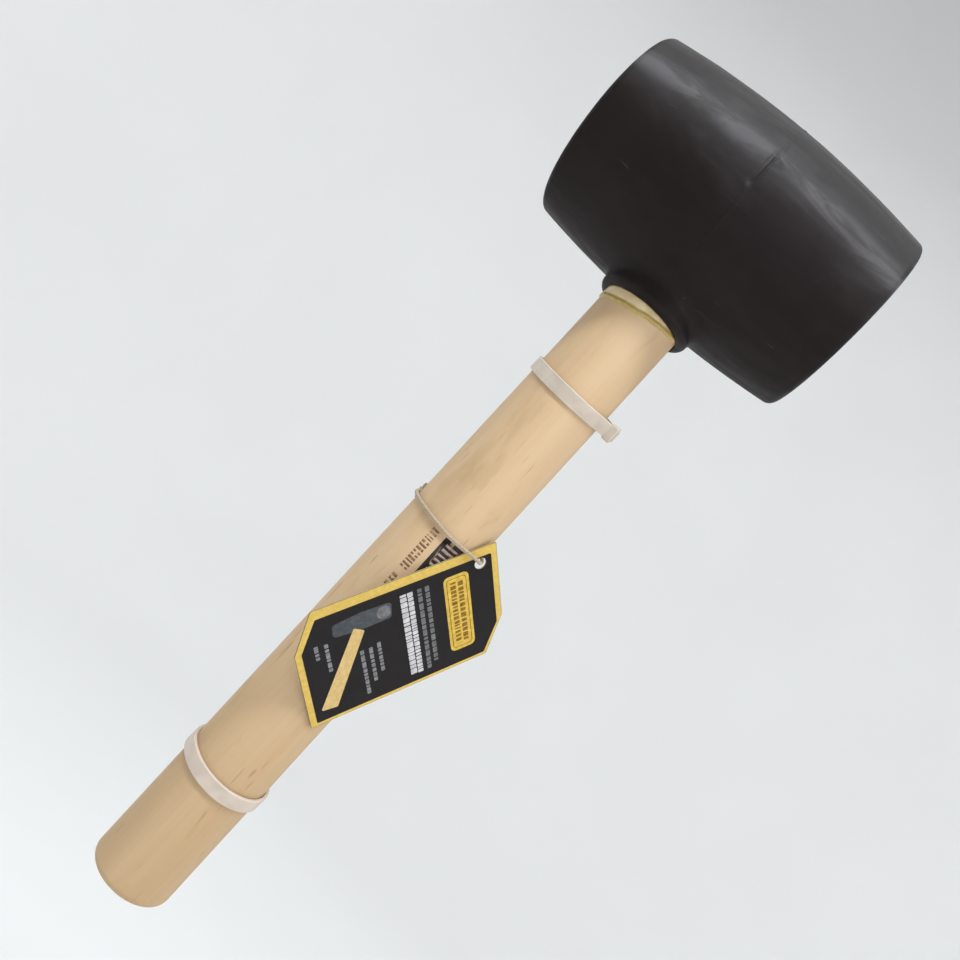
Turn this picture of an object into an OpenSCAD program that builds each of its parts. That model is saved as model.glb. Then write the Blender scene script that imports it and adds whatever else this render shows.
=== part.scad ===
// Rubber mallet: a barrel-shaped rubber head on a turned wooden handle, hung by the
// underside of its head, with two nylon ties and a card tag looped on with string.
// The handle's axis is Z and the head's axis is X. Z is 0 at the lowest line of the
// barrel, where the head rests when the mallet hangs. Lengths are in millimetres.

/* [Head] */
// Length of the head from face to face
head_len = 100; // [90:1:115]
// Diameter of the striking faces, before their edges are rounded
face_d = 63.8; // [60:0.2:67]
// Diameter of the barrel at its middle
belly_d = 71; // [70:0.2:78]
// Rounding of the edge of each striking face
rim_r = 2.2; // [1:0.2:6]
// Height of the mould parting line above the rubber
seam_h = 0.3; // [0.1:0.1:0.6]
// Width of the mould parting line
seam_w = 1; // [0.6:0.2:2]
// Diameter of the boss around the handle
boss_d = 34.5; // [33:0.5:38]
// How far the boss reaches below the barrel
boss_drop = 4.6; // [3:0.2:7]

/* [Handle] */
// Diameter of the turned handle
handle_d = 27.8; // [27:0.2:28.4]
// How far the butt is below the barrel
handle_drop = 239; // [215:1:280]
// Rounding of the butt's edge
butt_r = 3; // [1:0.5:6]
// Diameter of the tenon in the upper part of the eye
tenon_d = 25; // [22:0.5:25.5]
// Height at which the shoulder between handle and tenon starts
shoulder_z = 16; // [10:1:24]
// Height of the shoulder's cone
shoulder_h = 8; // [4:1:12]
// How far the tenon's end lies below the top of the barrel
tenon_recess = 2.8; // [2.6:0.2:5]

/* [Wedge and glue] */
// Thickness of the wedge at its driven end
wedge_top = 3.4; // [2:0.2:5]
// Thickness of the wedge at its point
wedge_tip = 0.6; // [0.4:0.1:1.2]
// Depth that the wedge is driven in
wedge_len = 28; // [18:1:34]
// Thickness of the glue film between handle and eye
glue_t = 0.3; // [0.2:0.05:0.5]
// Thickness of the squeezed-out glue below the boss
squeeze_t = 0.45; // [0.3:0.05:0.8]
// Thickness of the thick lower edge of the squeezed-out glue
bead_t = 0.8; // [0.5:0.1:1.2]
// Width of that edge along the handle
bead_w = 1.7; // [1:0.1:3]
// Depth of the glue's edge below the barrel, on the handle's axis
glue_edge = 4.3; // [3.6:0.1:5]
// Lean of the glue's edge across the handle, in degrees
glue_lean = 13; // [6:1:16]
// Direction towards which the glue's edge runs lowest, in degrees from the front
glue_low_at = -40; // [-60:5:0]

/* [Ties] */
// Width of a tie's strap
tie_w = 4.8; // [3.6:0.1:6]
// Thickness of a tie's strap
tie_t = 1.2; // [1:0.1:1.6]
// Depth of the upper tie's middle below the barrel
upper_tie_drop = 37.6; // [34:0.2:60]
// Lean of the upper tie, in degrees
upper_tie_lean = 14; // [0:1:16]
// Depth of the lower tie's middle below the barrel
lower_tie_drop = 195; // [185:0.2:205]
// Lean of the lower tie, in degrees
lower_tie_lean = 6; // [0:1:16]
// Direction towards which the upper tie runs lowest, in degrees from the front
upper_low_at = 8; // [-40:2:60]
// Direction towards which the lower tie runs lowest, in degrees from the front
lower_low_at = 38; // [-40:2:60]
// Direction of the upper tie's lock, in degrees from the front
upper_lock_at = 86; // [60:2:120]
// Direction of the lower tie's lock, in degrees from the front
lower_lock_at = 150; // [120:5:220]
// Size of a tie's lock along the handle
lock_w = 5.8; // [5:0.2:8]
// Size of a tie's lock around the handle
lock_d = 5.2; // [4:0.2:7]
// Size of a tie's lock outwards
lock_h = 3; // [2.6:0.2:5]

/* [Tag] */
// Width of the card
card_w = 40.6; // [38:0.2:46]
// Length of the card
card_l = 66.8; // [60:0.2:75]
// Thickness of the card
card_t = 0.4; // [0.3:0.1:0.6]
// Cut corners: size along the card's width
cut_x = 13; // [6:0.5:14]
// Cut corners: size along the card's length
cut_y = 7; // [4:0.5:9]
// Diameter of the string's hole
hole_d = 4; // [3.8:0.2:5]
// Distance of the hole from the card's middle, towards its uncut side
hole_x = 14.8; // [14.4:0.1:15.2]
// Distance of the hole from the card's middle, towards its upper end
hole_y = 27.4; // [24:0.2:28]

/* [String] */
// Diameter of the string
string_d = 1.3; // [1:0.1:1.4]
// Diameter of the knot
knot_d = 3.2; // [2.6:0.1:3.4]

/* [Hidden] */
$fn = 96;
head_z = belly_d / 2;
handle_r = handle_d / 2;
tenon_r = tenon_d / 2;
boss_r = boss_d / 2;
eye_r = handle_r + glue_t;
tenon_top = belly_d - tenon_recess;
far = 200;
tie_gap = 0.05;
lock_rise = 1.4;
stub_len = 0.4;
boss_edge = 2.4;

// The barrel's outline: a wide arc for the belly and a small arc for each rim.
half = head_len / 2;
sag = (belly_d - face_d) / 2;
arc_r = (half * half + sag * sag) / (2 * sag);
arc_c = belly_d / 2 - arc_r;
rim_x = half - rim_r;
rim_c = arc_c + sqrt(pow(arc_r - rim_r, 2) - rim_x * rim_x);
rim_a = atan2(rim_x, rim_c - arc_c);
arc_steps = 12;
rim_steps = 8;
seam_a = asin(seam_w / 2 / arc_r);
belly_points = [for (i = [0:arc_steps]) let (a = seam_a + (rim_a - seam_a) * i / arc_steps)
    [arc_c + arc_r * cos(a), arc_r * sin(a)]];
rim_points = [for (i = [1:rim_steps]) let (a = rim_a + (90 - rim_a) * i / rim_steps)
    [rim_c + rim_r * cos(a), rim_x + rim_r * sin(a)]];
half_outline = concat(belly_points, rim_points, [[0, half]]);
last_point = len(half_outline) - 1;
barrel_outline = concat([[belly_d / 2 + seam_h, 0]], half_outline,
    [for (i = [last_point:-1:0]) [half_outline[i][0], -half_outline[i][1]]]);

// The card's place: the way that it faces in degrees from the front, its lean in its own plane, its
// back's distance from the handle's axis, its hole's depth below the barrel, and how far the hole is
// past the line of touch.
card_turn = 43;
card_lean = 34.4;
card_back = 14.6;
hole_drop = 96;
hole_side = 6.8;

// The string's route round the handle and through the card's hole, from knot to knot:
// degrees from the front, distance from the handle's surface, and depth below the barrel.
string_route = [
    [-112, 1.5, 92.0], [-100, 1.0, 92.3], [-85, 1.0, 92.8], [-65, 1.0, 93.5], [-45, 1.0, 94.3],
    [-25, 1.0, 95.0], [-8, 1.0, 95.6], [10, 1.1, 96.1], [24, 1.4, 96.1], [36, 1.9, 96.0],
    [46, 2.2, 95.9], [55, 2.7, 95.9], [62, 3.0, 96.0], [68, 2.4, 96.0], [74, 1.8, 95.9],
    [84, 1.3, 95.6], [100, 1.0, 95.0], [120, 1.0, 94.4], [140, 1.0, 93.9], [160, 1.0, 93.4],
    [180, 1.0, 93.0], [200, 1.0, 92.6], [220, 1.0, 92.3], [236, 1.1, 92.1], [247, 1.5, 92.0]
];
string_sides = 8;
ring_steps = 3;
knot_turn = -112;
knot_out = 2;
knot_drop = 92;
tail_len = 3;

function on_route(p) = let (r = handle_r + p[1]) [r * sin(p[0]), -r * cos(p[0]), -p[2]];
function clamp_index(i, n) = max(0, min(n - 1, i));
function between(a, b, c, d, t) = 0.5 * (2 * b + (c - a) * t + (2 * a - 5 * b + 4 * c - d) * t * t
    + (3 * b - a - 3 * c + d) * t * t * t);
function smooth(p) = let (n = len(p)) concat(
    [for (i = [0:n - 2], k = [0:ring_steps - 1])
        between(p[clamp_index(i - 1, n)], p[i], p[i + 1], p[clamp_index(i + 2, n)], k / ring_steps)],
    [p[n - 1]]);
function unit(v) = v / norm(v);

// The lower edge of a turned piece, rounded by a radius, as points of its outline.
function rounded_edge(outer, round_r, low) = [for (i = [0:6]) let (a = -90 + 15 * i)
    [outer - round_r + round_r * cos(a), low + round_r + round_r * sin(a)]];

// A closed tube along a line of points that runs round the Z axis.
module tube(p, r, sides) {
    n = len(p);
    rings = [for (i = [0:n - 1])
        let (along = unit(p[clamp_index(i + 1, n)] - p[clamp_index(i - 1, n)]),
            side = unit(cross(along, [0, 0, 1])),
            up = cross(side, along))
        for (k = [0:sides - 1])
            p[i] + r * (cos(360 * k / sides) * side + sin(360 * k / sides) * up)];
    walls = [for (i = [0:n - 2], k = [0:sides - 1])
        let (a = i * sides + k, b = i * sides + (k + 1) % sides)
        [a, a + sides, b + sides, b]];
    first_end = [for (k = [0:sides - 1]) k];
    last_end = [for (k = [sides - 1:-1:0]) (n - 1) * sides + k];
    polyhedron(concat(rings), concat(walls, [first_end, last_end]));
}

// The handle's solid of revolution, grown outwards by a margin.
module handle_body(grow, low, high) {
    r = handle_r + grow;
    t = tenon_r + grow;
    polygon_points = [[0, low], [r, low], [r, shoulder_z], [t, shoulder_z + shoulder_h], [t, high], [0, high]];
    rotate_extrude() polygon(polygon_points);
}

module wedge_prism(width) {
    rotate([90, 0, 90])
        linear_extrude(height = width, center = true)
            polygon([[-wedge_top / 2, tenon_top], [-wedge_tip / 2, tenon_top - wedge_len],
                [wedge_tip / 2, tenon_top - wedge_len], [wedge_top / 2, tenon_top]]);
}

module rubber_head() {
    color([0.07, 0.07, 0.08])
        difference() {
            union() {
                translate([0, 0, head_z])
                    rotate([0, 90, 0])
                        rotate_extrude() polygon(barrel_outline);
                translate([0, 0, -boss_drop])
                    rotate_extrude()
                        polygon(concat([[0, 0]], rounded_edge(boss_r, boss_edge, 0),
                            [[boss_r, boss_drop + 0.5], [boss_r + 2, boss_drop + 4],
                                [boss_r + 2, head_z], [0, head_z]]));
            }
            handle_body(glue_t, -far, far);
        }
}

module handle() {
    color([0.87, 0.72, 0.52])
        difference() {
            rotate_extrude()
                polygon(concat([[0, -handle_drop]], rounded_edge(handle_r, butt_r, -handle_drop),
                    [[handle_r, shoulder_z], [tenon_r, shoulder_z + shoulder_h],
                        [tenon_r, tenon_top - 0.6], [tenon_r - 0.6, tenon_top], [0, tenon_top]]));
            wedge_prism(far);
        }
}

module handle_wedge() {
    color([0.72, 0.52, 0.33])
        intersection() {
            wedge_prism(tenon_d);
            cylinder(r = tenon_r - 0.6, h = tenon_top);
        }
}

// Everything below the glue's leaning edge, moved up the handle by a shift.
module below_glue_edge(shift) {
    translate([0, 0, shift - glue_edge])
        rotate([0, 0, glue_low_at])
            rotate([glue_lean, 0, 0])
                translate([0, 0, -far / 2])
                    cube(far, center = true);
}

module squeezed_glue(thickness) {
    reach = 10;
    difference() {
        translate([0, 0, -boss_drop - reach])
            cylinder(r = handle_r + thickness, h = reach);
        cylinder(r = handle_r, h = far, center = true);
    }
}

module adhesive() {
    color([0.85, 0.76, 0.5]) {
        difference() {
            handle_body(glue_t, -boss_drop, tenon_top - 8);
            handle_body(0, -far, far);
        }
        difference() {
            squeezed_glue(squeeze_t);
            below_glue_edge(-bead_w / 2);
        }
        difference() {
            intersection() {
                squeezed_glue(bead_t);
                below_glue_edge(0);
            }
            below_glue_edge(-bead_w);
        }
    }
}

// A nylon tie: a strap drawn round the handle on a slight lean, with its lock at a direction of
// its own. The strap's two ends rise off the handle to reach the lock.
module cable_tie(lean, low_at, lock_at) {
    strap_in = handle_r + tie_gap;
    strap_out = handle_r + tie_gap + tie_t;
    lock_in = strap_out + lock_rise;
    difference() {
        rotate([0, 0, low_at])
            rotate([lean, 0, 0])
                rotate([0, 0, lock_at - 90 - low_at]) {
                    translate([0, 0, -tie_w / 2])
                        linear_extrude(height = tie_w)
                            difference() {
                                hull() {
                                    rotate([0, 0, 90 + low_at - lock_at])
                                        scale([1, 1 / cos(lean)])
                                            circle(r = strap_out);
                                    translate([lock_in, 0]) square([1, lock_d - 0.8], center = true);
                                }
                                hull() {
                                    circle(r = strap_in - 1);
                                    translate([lock_in - 0.7, 0]) square([0.2, 1.6], center = true);
                                }
                            }
                    translate([lock_in, -lock_d / 2, -lock_w / 2])
                        cube([lock_h, lock_d, lock_w]);
                    translate([lock_in + lock_h, -tie_t / 2, -tie_w / 2])
                        cube([stub_len, tie_t, tie_w]);
                }
        cylinder(r = strap_in, h = 3 * tie_w + lock_w, center = true);
    }
}

module upper_cable_tie() {
    color([0.92, 0.91, 0.87])
        translate([0, 0, -upper_tie_drop])
            cable_tie(upper_tie_lean, upper_low_at, upper_lock_at);
}

module lower_cable_tie() {
    color([0.92, 0.91, 0.87])
        translate([0, 0, -lower_tie_drop])
            cable_tie(lower_tie_lean, lower_low_at, lower_lock_at);
}

module card_outline() {
    w = card_w / 2;
    l = card_l / 2;
    polygon([[-w + cut_x, -l], [w, -l], [w, l - cut_y], [w - cut_x, l], [-w, l], [-w, -l + cut_y]]);
}

module hang_tag() {
    color([0.13, 0.12, 0.13])
        rotate([0, 0, card_turn])
            translate([hole_side, -card_back, -hole_drop])
                rotate([90, 0, 0])
                    rotate([0, 0, -card_lean])
                        linear_extrude(height = card_t)
                            difference() {
                                translate([hole_x, -hole_y]) card_outline();
                                circle(d = hole_d);
                            }
}

module tag_string() {
    color([0.85, 0.84, 0.8])
        tube(smooth([for (p = string_route) on_route(p)]), string_d / 2, string_sides);
}

module string_knot() {
    color([0.85, 0.84, 0.8])
        rotate([0, 0, knot_turn])
            translate([0, -handle_r - knot_out, -knot_drop]) {
                sphere(d = knot_d, $fn = 32);
                rotate([8, 14, 0])
                    translate([0, 0, -tail_len]) cylinder(d = string_d, h = tail_len, $fn = 24);
                rotate([8, -12, 0])
                    cylinder(d = string_d, h = tail_len, $fn = 24);
            }
}

rubber_head();
handle();
handle_wedge();
adhesive();
upper_cable_tie();
lower_cable_tie();
hang_tag();
tag_string();
string_knot();
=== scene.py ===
import math

import bpy
import numpy as np
from mathutils import Matrix, Vector
from mathutils.geometry import tessellate_polygon


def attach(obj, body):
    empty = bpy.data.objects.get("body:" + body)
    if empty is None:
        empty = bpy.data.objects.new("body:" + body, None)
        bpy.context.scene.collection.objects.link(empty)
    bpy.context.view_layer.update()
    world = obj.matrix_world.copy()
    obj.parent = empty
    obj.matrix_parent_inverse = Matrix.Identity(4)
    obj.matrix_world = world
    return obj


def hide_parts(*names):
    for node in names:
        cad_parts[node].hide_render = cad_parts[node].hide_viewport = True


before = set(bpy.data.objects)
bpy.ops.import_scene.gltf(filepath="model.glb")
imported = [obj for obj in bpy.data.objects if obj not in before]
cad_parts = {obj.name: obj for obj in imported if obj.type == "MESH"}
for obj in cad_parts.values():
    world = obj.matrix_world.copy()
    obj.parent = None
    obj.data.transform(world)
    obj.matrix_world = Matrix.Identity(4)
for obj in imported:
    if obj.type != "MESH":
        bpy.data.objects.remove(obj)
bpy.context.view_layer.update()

MM = 0.001
ROOT, LOOP, TAG = "mallet", "string_loop", "tag"

# ---------------------------------------------------------------- sizes, in millimetres
HEAD_HALF = 50.0
FACE_R, BELLY_R, RIM_R = 31.9, 35.5, 2.2
FACE_SET_BACK = 0.03
SEAM_H, SEAM_W = 0.26, 0.42
# the moulding mark on the seam: from and to how many degrees above the front, and how it fades
MARK_LOW, MARK_HIGH, MARK_FADE = -5, 19, 3
STEP_H, STEP_LEN, GROOVE_DEPTH, GROOVE_W, LUMP_H = 0.5, 6, 0.6, 0.95, 0.45
BOSS_R, BOSS_DROP, BOSS_EDGE, BOSS_FILLET = 17.25, 4.6, 2.4, 2.6
EYE_EDGE, TENON_EDGE = 0.45, 0.5
HANDLE_R, HANDLE_DROP, BUTT_R = 13.9, 239.0, 3.0
TENON_R, SHOULDER_Z, SHOULDER_H, TENON_TOP = 12.5, 16.0, 8.0, 68.2
WEDGE_TOP, WEDGE_TIP, WEDGE_LEN = 3.4, 0.6, 28.0
GLUE_T = 0.3
GLUE_EDGE, GLUE_LEAN, GLUE_LOW_AT, BEAD_W = 4.3, 13.0, -40.0, 1.7
TIE_W, TIE_T, TIE_GAP = 4.8, 1.2, 0.05
LOCK_W, LOCK_D, LOCK_H, LOCK_RISE, STUB_LEN = 5.8, 5.2, 3.0, 1.4, 0.4
TIES = {
    "upper": dict(drop=37.6, lean=14.0, low_at=8.0, lock_at=86.0),
    "lower": dict(drop=195.0, lean=6.0, low_at=38.0, lock_at=150.0),
}
CARD_W, CARD_L, CARD_T = 40.6, 66.8, 0.4
CUT_X, CUT_Y = 13.0, 7.0
HOLE_D, HOLE_X, HOLE_Y = 4.0, 14.8, 27.4
CARD_TURN, CARD_LEAN, CARD_BACK, HOLE_DROP, HOLE_SIDE = 43.0, 34.4, 14.6, 96.0, 6.8
STRING_D = 1.3
KNOT_TURN, KNOT_OUT, KNOT_DROP, TAIL_LEN = -112.0, 2.0, 92.0, 3.0
# The string's route: degrees from the front, distance from the handle's surface, and depth
# below the barrel.
STRING_ROUTE = [
    (-112, 1.5, 92.0), (-100, 1.0, 92.3), (-85, 1.0, 92.8), (-65, 1.0, 93.5), (-45, 1.0, 94.3),
    (-25, 1.0, 95.0), (-8, 1.0, 95.6), (10, 1.1, 96.1), (24, 1.4, 96.1), (36, 1.9, 96.0),
    (46, 2.2, 95.9), (55, 2.7, 95.9), (62, 3.0, 96.0), (68, 2.4, 96.0), (74, 1.8, 95.9),
    (84, 1.3, 95.6), (100, 1.0, 95.0), (120, 1.0, 94.4), (140, 1.0, 93.9), (160, 1.0, 93.4),
    (180, 1.0, 93.0), (200, 1.0, 92.6), (220, 1.0, 92.3), (236, 1.1, 92.1), (247, 1.5, 92.0),
]

# ---------------------------------------------------------------- camera, in metres
CAMERA_AT = (0.01655, -0.26685, -0.08867)
CAMERA_RIGHT = Vector((0.7367, 0.0233, 0.6758))
CAMERA_BACK = Vector((0.0715, -0.9965, -0.0436))
FOCAL, IMAGE_SIDE, SENSOR = 850, 960, 36


def make_camera():
    data = bpy.data.cameras.new("camera")
    data.sensor_width = SENSOR
    data.lens = FOCAL * SENSOR / IMAGE_SIDE
    data.clip_start, data.clip_end = 0.01, 50
    cam = bpy.data.objects.new("camera", data)
    bpy.context.scene.collection.objects.link(cam)
    back = CAMERA_BACK.normalized()
    up = back.cross(CAMERA_RIGHT).normalized()
    right = up.cross(back)
    turn = Matrix((right, up, back)).transposed()
    cam.matrix_world = Matrix.Translation(CAMERA_AT) @ turn.to_4x4()
    bpy.context.scene.camera = cam


# ---------------------------------------------------------------- lights, in metres and watts
SKY_COLOUR, SKY_STRENGTH = (0.97, 0.98, 1.0, 1), 0.38
# where each stands, what it faces, its size, its power and its colour
LIGHTS = {
    "tube": ((-0.05, -0.62, 1.1), (0, 0, 0.03), (1.9, 0.14), 23, (0.93, 0.97, 1.0)),
    "ceiling": ((0.1, 0.1, 1.6), (0, 0, 0), (2.2, 2.2), 9, (0.96, 0.98, 1.0)),
    "front": ((0.94, -0.75, 0.055), (0, 0, -0.08), (0.75, 0.75), 3.9, (1.0, 0.98, 0.95)),
}


# ---------------------------------------------------------------- mesh helpers
def add_mesh(name, points, faces, material, body=ROOT, scale=MM, smooth=True):
    """A new object from points in millimetres, riding on a body."""
    mesh = bpy.data.meshes.new(name)
    corners = [tuple(float(c) * scale for c in p) for p in points]
    mesh.from_pydata(corners, [], [tuple(map(int, f)) for f in faces])
    mesh.validate()
    for m in material if isinstance(material, (list, tuple)) else [material]:
        mesh.materials.append(m)
    mesh.polygons.foreach_set("use_smooth", [smooth] * len(mesh.polygons))
    obj = bpy.data.objects.new(name, mesh)
    bpy.context.scene.collection.objects.link(obj)
    if body:
        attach(obj, body)
    return obj


def spaced(*spans):
    """Grid lines from (start, end, step) spans joined end to end."""
    out = []
    for a, b, step in spans:
        n = max(1, round((b - a) / step))
        out += list(np.linspace(a, b, n, endpoint=False))
    return np.array(out + [spans[-1][1]])


CORNERS = [(i, j, k) for i in (0, 1) for j in (0, 1) for k in (0, 1)]
EDGES = [(a, b) for a in CORNERS for b in CORNERS
         if sum(b) - sum(a) == 1 and sum(abs(p - q) for p, q in zip(a, b)) == 1]


def net(field, xs, ys, zs, steps=4):
    """Points and quads of the surface where field(x, y, z) is 0, moved exactly onto it."""
    F = field(*np.meshgrid(xs, ys, zs, indexing="ij"))
    inside = F < 0
    nx, ny, nz = F.shape
    n_in = sum(inside[i:nx - 1 + i, j:ny - 1 + j, k:nz - 1 + k].astype(int) for i, j, k in CORNERS)
    active = (n_in > 0) & (n_in < 8)
    cell = np.argwhere(active)
    index = np.full(active.shape, -1)
    index[active] = np.arange(len(cell))
    total, hits = np.zeros((len(cell), 3)), np.zeros(len(cell))
    for a, b in EDGES:
        ia, ib = (cell + a).T, (cell + b).T
        fa, fb = F[tuple(ia)], F[tuple(ib)]
        cut = (fa < 0) != (fb < 0)
        t = np.where(cut, fa / np.where(cut, fa - fb, 1), 0)[:, None]
        pa = np.stack([xs[ia[0]], ys[ia[1]], zs[ia[2]]], 1)
        pb = np.stack([xs[ib[0]], ys[ib[1]], zs[ib[2]]], 1)
        total += np.where(cut[:, None], pa + t * (pb - pa), 0)
        hits += cut
    P = total / hits[:, None]
    h, least_slope = 0.01, 0.3
    for _ in range(steps):
        f = field(*P.T)
        g = np.stack([(field(*(P + d).T) - field(*(P - d).T)) / (2 * h) for d in np.eye(3) * h], 1)
        P -= (f / np.maximum((g ** 2).sum(1), least_slope))[:, None] * g
    quads = []
    for axis in range(3):
        a = inside.take(range(0, inside.shape[axis] - 1), axis)
        b = inside.take(range(1, inside.shape[axis]), axis)
        I = np.argwhere(a != b)
        u, v = (axis + 1) % 3, (axis + 2) % 3
        I = I[(I[:, u] > 0) & (I[:, v] > 0) & (I[:, u] < F.shape[u] - 1) & (I[:, v] < F.shape[v] - 1)]
        ring = []
        for du, dv in ((-1, -1), (0, -1), (0, 0), (-1, 0)):
            J = I.copy()
            J[:, u] += du
            J[:, v] += dv
            ring.append(index[tuple(J.T)])
        Q = np.stack(ring, 1)
        keep = a[tuple(I.T)]
        quads.append(np.where(keep[:, None], Q, Q[:, ::-1]))
    return P, np.concatenate(quads)


def both(a, b, r):
    """The field of what is inside both, with the edge between them rounded by r."""
    return np.minimum(-r, np.maximum(a, b)) + np.hypot(np.maximum(r + a, 0), np.maximum(r + b, 0))


def either(a, b, r):
    """The field of what is inside either, with a fillet of r between them."""
    return np.maximum(r, np.minimum(a, b)) - np.hypot(np.maximum(r - a, 0), np.maximum(r - b, 0))


def box_field(x, y, z, hx, hy, hz, r):
    """The field of a box of half sizes hx, hy and hz with rounded edges."""
    qx, qy, qz = np.abs(x) - hx + r, np.abs(y) - hy + r, np.abs(z) - hz + r
    out = np.sqrt(np.maximum(qx, 0) ** 2 + np.maximum(qy, 0) ** 2 + np.maximum(qz, 0) ** 2)
    return out + np.minimum(np.maximum(qx, np.maximum(qy, qz)), 0) - r


def ripple(x, y, z, seed, length, parts=6):
    """A smooth seeded noise of about unit size, for uneven moulded or turned surfaces."""
    rng = np.random.default_rng(seed)
    out = 0
    for _ in range(parts):
        d = rng.normal(size=3)
        d *= 2 * math.pi / length / np.linalg.norm(d) * rng.uniform(0.6, 1.5)
        out = out + np.sin(d[0] * x + d[1] * y + d[2] * z + rng.uniform(0, 6.28))
    return out / parts ** 0.5


def round_z(p, degrees):
    """The point turned about the z axis."""
    a = math.radians(degrees)
    x, y, z = p
    return x * math.cos(a) - y * math.sin(a), x * math.sin(a) + y * math.cos(a), z


def catmull(points, steps):
    """A smooth line through the points, steps to each stretch."""
    P = np.array(points, float)
    n, out = len(P), []
    for i in range(n - 1):
        a, b, c, d = P[max(0, i - 1)], P[i], P[i + 1], P[min(n - 1, i + 2)]
        for k in range(steps):
            t = k / steps
            curve = (2 * a - 5 * b + 4 * c - d) * t * t + (3 * b - a - 3 * c + d) * t ** 3
            out.append(0.5 * (2 * b + (c - a) * t + curve))
    return np.array(out + [P[-1]])


def twisted_tube(line, radius, pitch, sides=30, up=(0, 0, 1), fray=0.0):
    """Points and faces of a string of three twisted strands along a line, closed at both ends."""
    strands, overlap, core = 3, 1.06, 0.55 * radius
    end_taper, end_len, fray_rate = 0.55, 0.6 * radius, 9
    line = np.array(line)
    along = np.gradient(line, axis=0)
    along /= np.linalg.norm(along, axis=1)[:, None]
    side = np.cross(along, np.array(up, float))
    side /= np.linalg.norm(side, axis=1)[:, None]
    rise = np.cross(side, along)
    run = np.concatenate([[0], np.cumsum(np.linalg.norm(np.diff(line, axis=0), axis=1))])
    strand_r = radius / (1 + 1 / math.sin(math.pi / strands)) * overlap
    centre_r = radius - strand_r
    points, faces = [], []
    for i, c in enumerate(line):
        twist = 2 * math.pi * run[i] / pitch
        near_end = max(0, 1 - min(run[i], run[-1] - run[i]) / end_len)
        taper = 1 - end_taper * near_end + fray * math.sin(fray_rate * run[i])
        for k in range(sides):
            a = 2 * math.pi * k / sides
            best = 0
            for s in range(strands):
                b = a - twist - 2 * math.pi * s / strands
                h = strand_r ** 2 - (centre_r * math.sin(b)) ** 2
                if h > 0 and math.cos(b) > 0:
                    best = max(best, centre_r * math.cos(b) + math.sqrt(h))
            best = max(best, core) * taper
            points.append(c + best * (math.cos(a) * side[i] + math.sin(a) * rise[i]))
    n = len(line)
    for i in range(n - 1):
        for k in range(sides):
            a, b = i * sides + k, i * sides + (k + 1) % sides
            faces.append((a, a + sides, b + sides, b))
    points += [line[0], line[-1]]
    first, last = len(points) - 2, len(points) - 1
    for k in range(sides):
        faces.append((first, k, (k + 1) % sides))
        faces.append((last, (n - 1) * sides + (k + 1) % sides, (n - 1) * sides + k))
    return points, faces


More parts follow.
